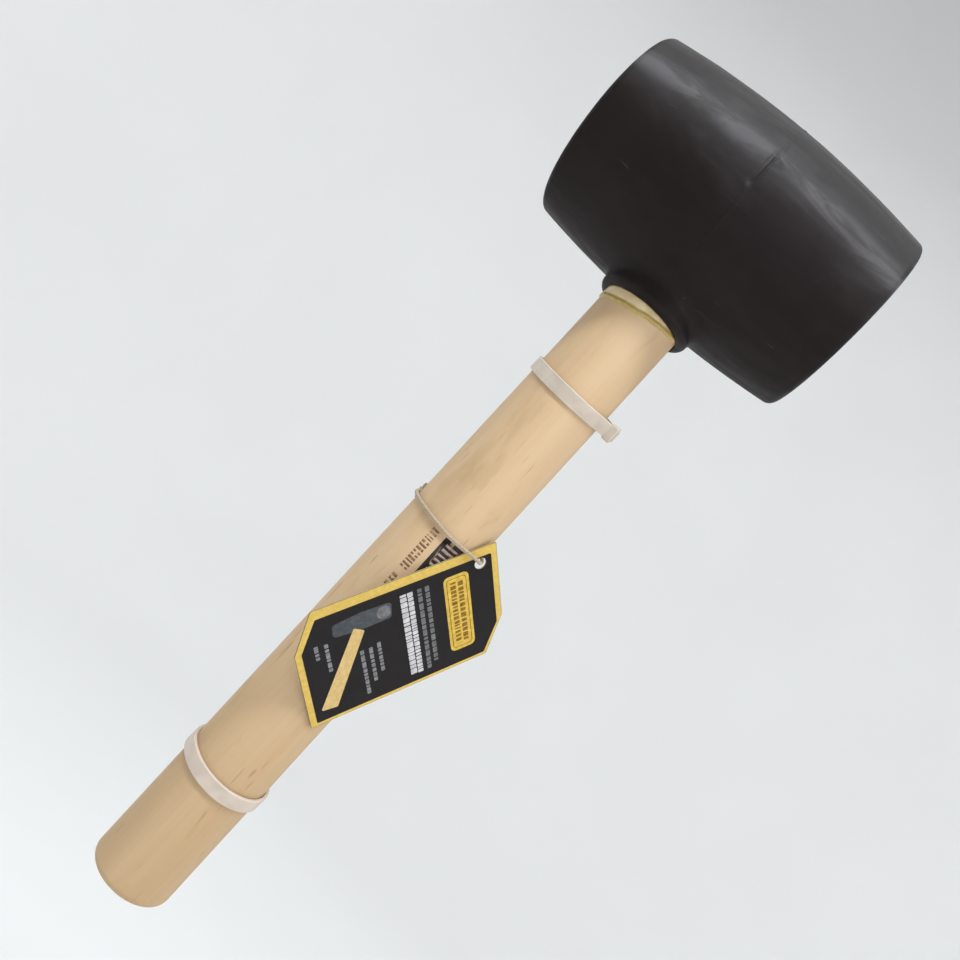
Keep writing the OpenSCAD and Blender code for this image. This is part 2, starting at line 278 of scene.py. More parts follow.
# ---------------------------------------------------------------- material helpers
class Shader:
    """A node material with short calls for the nodes that it uses."""

    def __init__(self, name, **sockets):
        self.mat = bpy.data.materials.new(name)
        self.mat.use_nodes = True
        self.tree = self.mat.node_tree
        self.bsdf = self.tree.nodes["Principled BSDF"]
        self.here = self.add("ShaderNodeTexCoord").outputs["Object"]
        for key, value in sockets.items():
            self.bsdf.inputs[key.replace("_", " ")].default_value = value

    def add(self, kind, **settings):
        node = self.tree.nodes.new(kind)
        for key, value in settings.items():
            setattr(node, key, value)
        return node

    def join(self, a, b):
        if hasattr(a, "is_output"):
            self.tree.links.new(a, b)
        else:
            b.default_value = a

    def stretch(self, scale, turn=(0, 0, 0), shift=(0, 0, 0)):
        node = self.add("ShaderNodeMapping")
        self.join(self.here, node.inputs["Vector"])
        node.inputs["Scale"].default_value = scale
        node.inputs["Rotation"].default_value = turn
        node.inputs["Location"].default_value = shift
        return node.outputs[0]

    def noise(self, where, scale=1.0, detail=4.0, rough=0.5, bend=0.0):
        node = self.add("ShaderNodeTexNoise")
        self.join(where, node.inputs["Vector"])
        node.inputs["Scale"].default_value = scale
        node.inputs["Detail"].default_value = detail
        node.inputs["Roughness"].default_value = rough
        node.inputs["Distortion"].default_value = bend
        return node.outputs["Fac"]

    def math(self, op, a, b=0.0):
        node = self.add("ShaderNodeMath", operation=op)
        self.join(a, node.inputs[0])
        self.join(b, node.inputs[1])
        return node.outputs[0]

    def plus(self, a, b):
        return self.math("ADD", a, b)

    def minus(self, a, b):
        return self.math("SUBTRACT", a, b)

    def times(self, a, b):
        return self.math("MULTIPLY", a, b)

    def span(self, value, low, high, to_low=0.0, to_high=1.0):
        node = self.add("ShaderNodeMapRange", interpolation_type="SMOOTHSTEP")
        self.join(value, node.inputs["Value"])
        node.inputs["From Min"].default_value = low
        node.inputs["From Max"].default_value = high
        node.inputs["To Min"].default_value = to_low
        node.inputs["To Max"].default_value = to_high
        return node.outputs[0]

    def ramp(self, value, *stops):
        node = self.add("ShaderNodeValToRGB")
        self.join(value, node.inputs[0])
        el = node.color_ramp.elements
        while len(el) < len(stops):
            el.new(0.5)
        for e, (at, colour) in zip(el, stops):
            e.position = at
            e.color = (*colour, 1)
        return node.outputs[0]

    def mix(self, fac, a, b, blend="MIX"):
        node = self.add("ShaderNodeMix", data_type="RGBA", blend_type=blend)
        self.join(fac, node.inputs[0])
        for value, socket in ((a, node.inputs[6]), (b, node.inputs[7])):
            self.join((*value, 1) if isinstance(value, tuple) else value, socket)
        return node.outputs[2]

    def parts(self, vector=None):
        node = self.add("ShaderNodeSeparateXYZ")
        self.join(vector or self.here, node.inputs[0])
        return node.outputs

    def plane(self, normal, offset=0.0):
        """Distance along a direction, in metres."""
        node = self.add("ShaderNodeVectorMath", operation="DOT_PRODUCT")
        self.join(self.here, node.inputs[0])
        node.inputs[1].default_value = normal
        return self.plus(node.outputs["Value"], offset)

    def bump(self, height, distance, strength=1.0, after=None):
        node = self.add("ShaderNodeBump")
        node.inputs["Strength"].default_value = strength
        node.inputs["Distance"].default_value = distance
        self.join(height, node.inputs["Height"])
        if after is not None:
            self.join(after, node.inputs["Normal"])
        return node.outputs[0]

    def finish(self, colour=None, rough=None, normal=None):
        for value, socket in ((colour, "Base Color"), (rough, "Roughness"), (normal, "Normal")):
            if value is not None:
                self.join(value, self.bsdf.inputs[socket])
        return self.mat


def rubber():
    """Black rubber, paler over the top with painted sheen and dust, with a painted sheen streak above the
    front, and scratches.
    """
    # the painted sheen streak's place, in radians above the front, and where a face's rim begins, in metres
    sheen_at, rim_from, rim_to = 0.24, 0.024, 0.03
    s = Shader("black_rubber", IOR=1.5, Specular_IOR_Level=0.15)
    x, y, z = s.parts()
    broad = s.noise(s.stretch((14, 30, 30)), 1, 5, 0.55, 0.6)
    smear = s.noise(s.stretch((16, 55, 55), turn=(0, 0.12, 0.1), shift=(3, 1, 2)), 1, 5, 0.55, 1.2)
    dust = s.span(smear, 0.47, 0.66)
    up = s.minus(z, BELLY_R * MM)
    turn = s.math("ARCTAN2", up, s.times(y, -1.0))
    from_axis = s.math("SQRT", s.plus(s.times(up, up), s.times(y, y)))
    on_barrel = s.span(from_axis, rim_from, rim_to)
    uneven = s.times(s.minus(s.noise(s.stretch((30, 24, 24), shift=(2, 5, 9)), 1, 4, 0.6), 0.5), 0.022)
    # painted sheen: the barrel is made paler towards the top, as if lit from above
    lit = s.span(s.plus(up, uneven), -0.011, 0.016)
    drift = s.times(s.minus(s.noise(s.stretch((30, 8, 8)), 1, 2), 0.5), 0.3)
    apart = s.math("ABSOLUTE", s.minus(s.plus(turn, drift), sheen_at))
    patchy = s.noise(s.stretch((45, 150, 150), shift=(7, 3, 1)), 1, 4, 0.55, 0.8)
    # painted highlight: a pale streak along the barrel above the front, standing in for the reflection of
    # the long overhead light
    sheen_band = s.times(s.span(apart, 0.02, 0.18, 1.0, 0.0), on_barrel)
    sheen_streak = s.times(sheen_band, s.span(patchy, 0.4, 0.62, 0.1, 1.0))
    scratch = s.noise(s.stretch((60, 900, 900), turn=(0.5, 0.2, 0.1)), 1, 2, 0.5)
    scratches = s.times(s.span(scratch, 0.68, 0.76), s.span(s.noise(s.here, 45, 2), 0.5, 0.65))
    base = s.mix(s.span(broad, 0.35, 0.7), (0.0075, 0.0042, 0.004), (0.0115, 0.0072, 0.0076))
    # the pale film over the top is painted sheen, made patchy by the dust
    film = s.times(lit, s.plus(0.3, s.times(dust, 0.45)))
    dust_and_sheen = s.mix(film, base, (0.06, 0.059, 0.06))
    dust_and_sheen = s.mix(s.times(sheen_streak, 0.75), dust_and_sheen, (0.1, 0.094, 0.1))
    worn = s.mix(s.times(scratches, 0.3), dust_and_sheen, (0.08, 0.08, 0.085))
    rough = s.plus(s.span(patchy, 0.3, 0.7, 0.42, 0.58), s.times(dust, 0.06))
    grain = s.noise(s.here, 2600, 3, 0.6)
    fine = s.bump(grain, 0.00003, 0.5)
    wavy = s.bump(s.noise(s.stretch((30, 60, 60)), 1, 3), 0.0009, 0.6, fine)
    return s.finish(worn, rough, wavy)


def wood(name, dark=1.0):
    """Pale hardwood: long grain, flecks and stains on the sides, painted shade towards the lower end, growth
    rings on the ends.
    """
    s = Shader(name, IOR=1.45, Specular_IOR_Level=0.35)
    x, y, z = s.parts()
    long = s.noise(s.stretch((48, 48, 3.2)), 1, 4, 0.5, 0.7)
    rings = s.noise(s.stretch((120, 40, 5), shift=(1, 2, 3)), 1, 3, 0.5, 0.4)
    fibre = s.noise(s.stretch((1300, 1300, 22)), 1, 3, 0.6)
    base = s.ramp(long, (0.25, (0.51, 0.34, 0.19)), (0.5, (0.56, 0.395, 0.235)), (0.8, (0.62, 0.455, 0.285)))
    ringed = s.mix(s.times(s.span(rings, 0.5, 0.72), 0.2), base, (0.46, 0.28, 0.13))
    fibred = s.mix(s.span(fibre, 0.35, 0.75, 0.0, 0.1), ringed, (0.42, 0.26, 0.13))
    fleck = s.noise(s.stretch((800, 800, 90), shift=(5, 2, 0)), 1, 1, 0.4)
    gate = s.span(s.noise(s.stretch((70, 70, 22)), 1, 2), 0.45, 0.62)
    flecks = s.times(s.span(fleck, 0.67, 0.76), gate)
    flecked = s.mix(s.times(flecks, 0.5), fibred, (0.3, 0.17, 0.07))
    streak = s.noise(s.stretch((260, 260, 24), shift=(2, 7, 4)), 1, 2, 0.5, 0.3)
    streaks = s.times(s.span(streak, 0.69, 0.78), 0.5)
    streaked = s.mix(streaks, flecked, (0.36, 0.21, 0.09))
    # painted shade: the handle is darkened towards its lower end, as if less light reaches it
    shaded_end = s.span(z, -0.24, -0.12, 0.75, 0.0)
    end_shaded = s.mix(shaded_end, streaked, s.mix(1.0, streaked, (0.78, 0.76, 0.7), "MULTIPLY"))
    stain = s.noise(s.stretch((60, 60, 14), shift=(4, 4, 1)), 1, 3, 0.5)
    colour = s.mix(s.span(stain, 0.56, 0.74, 0.0, 0.35), end_shaded, (0.36, 0.24, 0.12))
    blotch = s.noise(s.stretch((110, 110, 34), shift=(6, 1, 8)), 1, 3, 0.55, 0.5)
    colour = s.mix(s.span(blotch, 0.57, 0.7, 0.0, 0.28), colour, (0.38, 0.25, 0.12))
    # the end grain: growth rings about a heart that lies outside the stick, with open pores
    heart_x, heart_y, ring_w = -0.019, 0.024, 0.0019
    facing = s.parts(s.add("ShaderNodeTexCoord").outputs["Normal"])[2]
    end = s.span(s.math("ABSOLUTE", facing), 0.75, 0.93)
    across, along = s.plus(x, -heart_x), s.minus(y, heart_y)
    far = s.math("SQRT", s.plus(s.times(across, across), s.times(along, along)))
    bent = s.plus(far, s.times(s.noise(s.here, 70, 3), 0.0022))
    year = s.math("SINE", s.times(bent, 2 * math.pi / ring_w))
    pored = s.span(s.noise(s.here, 1900, 2, 0.6), 0.5, 0.68, 0.0, 0.45)
    ended = s.mix(s.span(year, -0.2, 1.0, 0.12, 0.6), colour, (0.33, 0.2, 0.095))
    ended = s.mix(pored, ended, (0.2, 0.115, 0.05))
    colour = s.mix(end, colour, ended)
    if dark != 1:
        colour = s.mix(1.0, colour, (dark, dark * 0.94, dark * 0.88), "MULTIPLY")
    rough = s.span(fibre, 0.3, 0.7, 0.52, 0.66)
    pores = s.bump(flecks, 0.0001, 0.5)
    pores.node.invert = True
    grain = s.bump(fibre, 0.00004, 0.5, pores)
    return s.finish(colour, rough, grain)


def nylon():
    s = Shader("white_nylon", IOR=1.5, Subsurface_Weight=0.35, Subsurface_Scale=0.0015, Roughness=0.38)
    s.bsdf.inputs["Subsurface Radius"].default_value = (1, 0.85, 0.7)
    tone = s.noise(s.here, 160, 3)
    colour = s.ramp(tone, (0.3, (0.5, 0.42, 0.35)), (0.7, (0.6, 0.52, 0.44)))
    fine = s.bump(s.noise(s.here, 1500, 2), 0.00002, 0.4)
    return s.finish(colour, s.span(tone, 0.3, 0.7, 0.32, 0.46), fine)


def glue():
    """Dried glue: cream above, and a mustard edge along its leaning lower line."""
    s = Shader("dried_glue", IOR=1.48, Coat_Weight=0.3, Coat_Roughness=0.25)
    lean, low = math.radians(GLUE_LEAN), math.radians(GLUE_LOW_AT)
    slope = math.tan(lean)
    height = s.plane((slope * math.sin(low), -slope * math.cos(low), 1), (GLUE_EDGE + BEAD_W) * MM)
    wobble = s.times(s.minus(s.noise(s.here, 260, 2), 0.5), 0.0011)
    edge = s.plus(height, wobble)
    tone = s.noise(s.here, 420, 3, 0.55)
    cream = s.ramp(tone, (0.3, (0.6, 0.46, 0.24)), (0.7, (0.72, 0.59, 0.36)))
    mustard = s.ramp(tone, (0.3, (0.34, 0.235, 0.06)), (0.7, (0.46, 0.33, 0.1)))
    colour = s.mix(s.span(edge, BEAD_W * MM * 0.8, BEAD_W * MM * 1.25), mustard, cream)
    return s.finish(colour, s.span(tone, 0.3, 0.7, 0.35, 0.6), s.bump(tone, 0.0002, 0.5))


def print_finish(name, colour, other, rough=0.42, wear=0.0):
    """Printing ink that is mottled between two colours, and may be worn away to the wood."""
    s = Shader(name, IOR=1.5, Specular_IOR_Level=0.2)
    tone = s.noise(s.here, 700, 3, 0.6)
    mottled = s.mix(s.span(tone, 0.3, 0.75), colour, other)
    if wear:
        bare = s.span(s.noise(s.stretch((900, 900, 240)), 1, 3, 0.6), 0.56, 0.68, 0, wear)
        mottled = s.mix(bare, mottled, (0.5, 0.34, 0.19))
    return s.finish(mottled, s.span(tone, 0.2, 0.8, rough - 0.06, rough + 0.08), s.bump(tone, 0.00002, 0.3))


def cardboard_edge():
    s = Shader("card_edge")
    layers = s.noise(s.here, 1800, 3)
    colour = s.ramp(layers, (0.3, (0.3, 0.24, 0.12)), (0.7, (0.42, 0.34, 0.18)))
    return s.finish(colour, 0.8, s.bump(layers, 0.00003, 0.5))


def thread():
    s = Shader("white_string", Sheen_Weight=0.3, Sheen_Roughness=0.5)
    fibre = s.noise(s.here, 5200, 3, 0.65)
    tone = s.noise(s.here, 300, 2)
    colour = s.mix(s.span(fibre, 0.35, 0.7), (0.3, 0.22, 0.15), (0.56, 0.45, 0.33))
    soiled = s.mix(s.span(tone, 0.45, 0.75, 0, 0.3), colour, (0.36, 0.27, 0.18))
    return s.finish(soiled, 0.85, s.bump(fibre, 0.0001, 0.7))


def studio_paint():
    s = Shader("studio_paint", Specular_IOR_Level=0.1)
    tone = s.noise(s.here, 3, 2)
    return s.finish(s.ramp(tone, (0.3, (0.82, 0.82, 0.815)), (0.7, (0.84, 0.84, 0.835))), 0.9)


# ---------------------------------------------------------------- the head
def eye_field(rho, z):
    """The handle's outline grown by the glue, as a distance that is negative inside."""
    slope = (HANDLE_R - TENON_R) / SHOULDER_H
    cone = (rho - (HANDLE_R + GLUE_T) + slope * (z - SHOULDER_Z)) / math.hypot(1, slope)
    upper = np.where(z > SHOULDER_Z + SHOULDER_H, rho - TENON_R - GLUE_T, cone)
    return np.where(z < SHOULDER_Z, rho - HANDLE_R - GLUE_T, upper)


def barrel_field(x, y, z):
    """The barrel, with its parting seam and the step, groove and lump in it above the front."""
    sag = BELLY_R - FACE_R
    arc_r = (HEAD_HALF ** 2 + sag ** 2) / (2 * sag)
    arc_c = BELLY_R - arc_r
    up = z - BELLY_R
    wall = np.hypot(np.hypot(y, up) - arc_c, x) - arc_r
    turn = np.degrees(np.arctan2(up, -y))
    uneven = 0.75 + 0.25 * np.sin(turn / 17.0)
    seam = SEAM_H * uneven * np.exp(-(x / SEAM_W) ** 2)
    patch = np.clip((turn - MARK_LOW) / MARK_FADE, 0, 1) * np.clip((MARK_HIGH - turn) / MARK_FADE, 0, 1)
    step = STEP_H * patch * np.clip((x - 0.2) / 0.6, 0, 1) * np.exp(-np.maximum(x, 0) / STEP_LEN)
    groove = -GROOVE_DEPTH * patch * np.exp(-((x + 0.9) / GROOVE_W) ** 2)
    lump = LUMP_H * np.exp(-((x - 1.6) / 1.5) ** 2 - ((turn - 15) / 2.6) ** 2)
    wall = wall - seam - step - groove - lump
    wall = wall - 0.05 * ripple(x, y, z, 4, 38) - 0.025 * ripple(x, y, z, 5, 13)
    end = np.abs(x) - HEAD_HALF + FACE_SET_BACK
    return both(wall, end, RIM_R)


def head_field(x, y, z):
    """The barrel and its boss, with the eye cut through them."""
    rho = np.hypot(x, y)
    boss = both(rho - BOSS_R - 0.04 * ripple(x, y, z, 8, 9), -BOSS_DROP - z, BOSS_EDGE)
    boss = np.maximum(boss, z - BELLY_R)
    solid = either(barrel_field(x, y, z), boss, BOSS_FILLET)
    return both(solid, -eye_field(rho, z), EYE_EDGE)


def make_head(material):
    xs = spaced((-51, -46, 0.5), (-46, -19, 0.9), (-19, -2, 0.7), (-2, 2, 0.2),
                (2, 19, 0.7), (19, 46, 0.9), (46, 51, 0.5))
    ys = spaced((-36.6, 36.6, 0.72))
    zs = spaced((-5.6, 8, 0.4), (8, 60, 0.72), (60, 72.2, 0.5))
    points, faces = net(head_field, xs, ys, zs)
    obj = add_mesh("mallet_head", points, faces, material)
    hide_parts("rubber_head")


# ---------------------------------------------------------------- handle and wedge
def wedge_half(z):
    """Half of the wedge's thickness at a height."""
    return WEDGE_TIP / 2 + (WEDGE_TOP - WEDGE_TIP) / 2 * (z - TENON_TOP + WEDGE_LEN) / WEDGE_LEN


def wedge_field(x, y, z):
    """The saw cut that the wedge fills."""
    flank = np.abs(y) - wedge_half(z)
    return np.maximum(flank, TENON_TOP - WEDGE_LEN - z)


def handle_field(x, y, z):
    """The handle with its shoulder and tenon, a little uneven along its length."""
    rho = np.hypot(x, y)
    side = eye_field(rho, z) + GLUE_T
    side = side + 0.02 * ripple(x, y, z * 0.25, 11, 16)
    body = both(side, -HANDLE_DROP - z, BUTT_R)
    body = both(body, z - TENON_TOP, TENON_EDGE)
    return np.maximum(body, -wedge_field(x, y, z))


def make_handle(material, wedge_material):
    line = spaced((-14.9, 14.9, 0.62))
    zs = spaced((-240, -233, 0.4), (-233, 14, 2.2), (14, 39, 1.0), (39, 66, 0.9), (66, 69, 0.3))
    points, faces = net(handle_field, line, line, zs)
    obj = add_mesh("turned_handle", points, faces, material)
    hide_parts("handle")

    def field(x, y, z):
        slab = both(wedge_field(x, y, z) + 0.03, z - TENON_TOP, 0.25)
        return both(slab, np.hypot(x, y) - TENON_R + 0.6, 0.3)

    zs = spaced((39.8, 66, 0.8), (66, 69, 0.25))
    points, faces = net(field, spaced((-13, 13, 0.5)), spaced((-2.2, 2.2, 0.2)), zs)
    obj = add_mesh("driven_wedge", points, faces, wedge_material)
    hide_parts("handle_wedge")


# ---------------------------------------------------------------- glue
def waves(*parts):
    """The sum of (height, degrees) sine waves."""
    return sum(h * math.sin(math.radians(a)) for h, a in parts)


def make_glue(material):
    lean, low = math.radians(GLUE_LEAN), GLUE_LOW_AT
    around, rows, top, bottom = 288, 56, -1.6, -11.5
    film_t, bead_t, bead_at, bead_half = 0.3, 0.36, 0.75, 0.62
    outer, faces = [], []
    for j in range(rows + 1):
        z = top + (bottom - top) * j / rows
        for i in range(around):
            turn = 360 * i / around
            a = math.radians(turn)
            x, y = math.sin(a), -math.cos(a)
            edge = -GLUE_EDGE - BEAD_W - HANDLE_R * math.tan(lean) * math.cos(math.radians(turn - low))
            edge += waves((0.13, 5 * turn + 20), (0.08, 13 * turn), (0.04, 31 * turn))
            above = z - edge
            film = film_t + waves((0.05, 7 * turn + 60 * z), (0.03, 23 * turn - 90 * z))
            bead = bead_t * math.exp(-((above - bead_at) / bead_half) ** 2) * (0.8 + waves((0.2, 9 * turn)))
            rise = min(1, max(0, above / 0.55 + 0.12))
            thick = (film + bead) * math.sqrt(rise) - (0.12 if above < 0.02 else 0)
            if z > -BOSS_DROP + 0.3:
                thick = min(thick, GLUE_T - 0.02)
            r = HANDLE_R + thick
            outer.append((r * x, r * y, z))
    deep = HANDLE_R - 0.3
    inner = []
    for x, y, z in outer:
        r = math.hypot(x, y)
        inner.append((deep * x / r, deep * y / r, z))
    n = len(outer)
    for j in range(rows):
        for i in range(around):
            a, b = j * around + i, j * around + (i + 1) % around
            c, d = a + around, b + around
            faces.append((a, c, d, b))
            faces.append((n + a, n + b, n + d, n + c))
    for i in range(around):
        a, b = i, (i + 1) % around
        faces.append((a, b, n + b, n + a))
        a, b = rows * around + i, rows * around + (i + 1) % around
        faces.append((a, n + a, n + b, b))
    obj = add_mesh("squeezed_glue", outer + inner, faces, material)

    # the film between the tenon and the top of the eye
    ring, faces, steps = [], [], 128
    near, far, start = TENON_R - 0.05, TENON_R + GLUE_T + 0.02, 60.0
    for r, z in ((near, start), (far, start), (far, start + 0.9), (near, start + 0.6)):
        for i in range(steps):
            a = 2 * math.pi * i / steps
            ring.append((r * math.cos(a), r * math.sin(a), z + 0.25 * math.sin(5 * a) * (z > start)))
    for q in range(4):
        for i in range(steps):
            a, b = q * steps + i, q * steps + (i + 1) % steps
            c, d = ((q + 1) % 4) * steps + i, ((q + 1) % 4) * steps + (i + 1) % steps
            faces.append((a, b, d, c))
    upper = add_mesh("glue_film", ring, faces, material)
    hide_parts("adhesive")


# ---------------------------------------------------------------- ties
def tie_field_at(lean, low_at, lock_at):
    """The field of a drawn tie round the origin: a leaning strap, its lock and its cut-off stub."""
    strap_in = HANDLE_R + TIE_GAP
    strap_out = strap_in + TIE_T
    lock_in = strap_out + LOCK_RISE
    flat = math.cos(math.radians(lean))
    across = math.radians(lock_at - 90 - low_at)
    r_out = strap_out / math.hypot(math.cos(across), math.sin(across) * flat)
    corner = np.array([lock_in + 0.5, LOCK_D / 2 - 0.4])
    far = math.hypot(*corner)
    reach = math.atan2(corner[1], corner[0]) + math.acos(r_out / far)
    nx, ny = math.cos(reach), math.sin(reach)

    def field(x, y, z):
        rho = np.hypot(x, y)
        px, py, pz = round_z((x, y, z), -low_at)
        a = math.radians(-lean)
        py, pz = py * math.cos(a) - pz * math.sin(a), py * math.sin(a) + pz * math.cos(a)
        loop = np.hypot(px, py * flat) - strap_out
        px, py, pz = round_z((px, py, pz), -(lock_at - 90 - low_at))
        tip = np.maximum(nx * px + ny * np.abs(py) - r_out, px - corner[0])
        tip = np.maximum(tip, -(px - r_out * nx))
        outer = np.minimum(loop, tip)
        ring = np.maximum(outer, -(outer + TIE_T + 0.02))
        waist = 0.1 * np.clip(px - strap_out, 0, 2)
        strap = both(ring, np.abs(pz) - TIE_W / 2 + waist, 0.28)
        rib = 0.05 * np.exp(-((np.abs(pz) - TIE_W / 2 + 0.75) / 0.22) ** 2)
        strap = strap + np.where(rho > strap_in + 0.6, rib, 0)
        cx = px - lock_in - LOCK_H / 2
        lock = box_field(cx, py, pz, LOCK_H / 2, LOCK_D / 2, LOCK_W / 2, 0.55)
        mouth_w, mouth_l = TIE_T / 2 + 0.45, TIE_W / 2 - 0.15
        mouth = box_field(px - lock_in - LOCK_H, py - 0.15, pz, 0.75, mouth_w, mouth_l, 0.2)
        lock = both(lock, -mouth, 0.15)
        teeth = 0.13 * np.sin(px * 2 * math.pi / 0.9) * (py > 0) * (np.abs(pz) < TIE_W / 2 - 0.7)
        stub_t, stub_w = TIE_T / 2 - 0.08 + teeth * 0.4, TIE_W / 2 - 0.45
        stub = box_field(cx, py, pz, LOCK_H / 2 + STUB_LEN, stub_t, stub_w, 0.12)
        solid = np.minimum(either(strap, lock, 0.4), stub)
        return np.maximum(solid, strap_in - rho)

    return field


def make_ties(material):
    """Both ties, each in a grid just large enough for its strap and lock."""
    reach, lock_r, room, tall, step = 16.4, 18.5, 4.8, 7.2, 0.27
    for name, tie in TIES.items():
        base = tie_field_at(tie["lean"], tie["low_at"], tie["lock_at"])
        drop = tie["drop"]
        a = math.radians(tie["lock_at"])
        spans = []
        for lock in (lock_r * math.sin(a), -lock_r * math.cos(a)):
            spans.append(spaced((min(-reach, lock - room), max(reach, lock + room), step)))
        spans.append(spaced((-drop - tall, -drop + tall, step)))
        points, faces = net(lambda x, y, z: base(x, y, z + drop), *spans)
        obj = add_mesh(name + "_nylon_tie", points, faces, material)
        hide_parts(name + "_cable_tie")


# ---------------------------------------------------------------- the card
CARD_TILT = math.radians(CARD_LEAN)


def on_card(x, y, h):
    """A point from the card's own axes: x across, y along, from its middle, h above its back."""
    a, b = x + HOLE_X, y - HOLE_Y
    c, s = math.cos(CARD_TILT), math.sin(CARD_TILT)
    a, b = a * c + b * s, -a * s + b * c
    return round_z((a + HOLE_SIDE, -CARD_BACK - h, b - HOLE_DROP), CARD_TURN)


def cut_corners(left, right, low, high, cut_x, cut_y):
    """A rectangle with two opposite corners cut off, counter-clockwise from the lower left cut."""
    return [(left + cut_x, low), (right, low), (right, high - cut_y),
            (right - cut_x, high), (left, high), (left, low + cut_y)]


def card_corners(inset_x=0.0, inset_y=0.0, inset_cut=0.0):
    """The card's outline, moved inwards by an amount for each kind of side."""
    w, l = CARD_W / 2 - inset_x, CARD_L / 2 - inset_y
    slant = math.hypot(CUT_X, CUT_Y)
    # how far the slanted line moves along each side when it is moved inwards
    grow_x = CUT_X + inset_cut * slant / CUT_Y - inset_x - inset_y * CUT_X / CUT_Y
    grow_y = CUT_Y + inset_cut * slant / CUT_X - inset_y - inset_x * CUT_Y / CUT_X
    return cut_corners(-w, w, -l, l, grow_x, grow_y)


def panel_corners():
    """The outline of the black panel inside the border, which is wider on one side than the other."""
    return cut_corners(-17.15, 19.3, -31.35, 31.35, 10.0, 5.7)


def bars_in_row(art, rng, x0, x1, y0, y1, slot, widths, gap, lift=0.0):
    """A row of short plain bars of uneven widths, in place of a line of lettering."""
    x = x0
    while x < x1 - widths[0]:
        wide = min(rng.uniform(*widths), x1 - x)
        art.bar(x, x + wide, y0, y1, slot, 0.25, lift=lift)
        x += wide + gap * rng.uniform(0.7, 1.3)


def rounded(points, r, steps=6):
    """The corner points of a convex outline with rounded corners, counter-clockwise."""
    out, n = [], len(points)
    for i in range(n):
        p, a, b = (Vector(points[j % n]) for j in (i, i - 1, i + 1))
        u, v = (a - p).normalized(), (b - p).normalized()
        half = math.acos(max(-1, min(1, u.dot(v)))) / 2
        back = r / math.tan(half)
        start, end = p + u * back, p + v * back
        centre = p + (u + v).normalized() * (r / math.sin(half))
        a0 = math.atan2(start.y - centre.y, start.x - centre.x)
        a1 = math.atan2(end.y - centre.y, end.x - centre.x)
        while a1 < a0:
            a1 += 2 * math.pi
        for k in range(steps + 1):
            t = a0 + (a1 - a0) * k / steps
            out.append((centre.x + r * math.cos(t), centre.y + r * math.sin(t)))
    return out


def circle(x, y, r, steps):
    turns = [2 * math.pi * i / steps for i in range(steps)]
    return [(x + r * math.cos(a), y + r * math.sin(a)) for a in turns]


def flat_rings(outer, inner):
    """Points and triangles of the flat area between an outline and a hole in it."""
    loops = [[Vector((x, y, 0)) for x, y in loop] for loop in ([outer] + ([inner] if inner else []))]
    return list(outer) + list(inner or []), tessellate_polygon(loops)


class Flat:
    """Flat shapes on the card, gathered into one mesh with one material slot each."""

    def __init__(self, height, thick):
        self.points, self.faces, self.slots = [], [], []
        self.height, self.thick = height, thick

    def shape(self, outer, slot, inner=None, lift=0.0):
        flat, tris = flat_rings(outer, inner)
        base = len(self.points)
        n = len(flat)
        top = self.height + self.thick + lift
        self.points += [on_card(x, y, top) for x, y in flat] + [on_card(x, y, self.height) for x, y in flat]
        for a, b, c in tris:
            (xa, ya), (xb, yb), (xc, yc) = flat[a], flat[b], flat[c]
            if (xb - xa) * (yc - ya) - (xc - xa) * (yb - ya) < 0:
                b, c = c, b
            self.faces.append((base + a, base + b, base + c))
            self.faces.append((base + n + a, base + n + c, base + n + b))
            self.slots += [slot, slot]
        start = 0
        for loop in [outer] + ([inner] if inner else []):
            m = len(loop)
            following = loop[1:] + loop[:1]
            area = sum(xa * yb - xb * ya for (xa, ya), (xb, yb) in zip(loop, following))
            out = (area > 0) == (loop is outer)
            for i in range(m):
                a, b = base + start + i, base + start + (i + 1) % m
                quad = (a, n + a, n + b, b)
                self.faces.append(quad if out else quad[::-1])
                self.slots.append(slot)
            start += m

    def bar(self, x0, x1, y0, y1, slot, r=0.25, lift=0.0):
        r = min(r, (x1 - x0) * 0.45, (y1 - y0) * 0.45)
        self.shape(rounded([(x0, y0), (x1, y0), (x1, y1), (x0, y1)], r), slot, lift=lift)

    def make(self, name, materials, body):
        obj = add_mesh(name, self.points, self.faces, materials, body, smooth=False)
        obj.data.polygons.foreach_set("material_index", self.slots)
        return obj


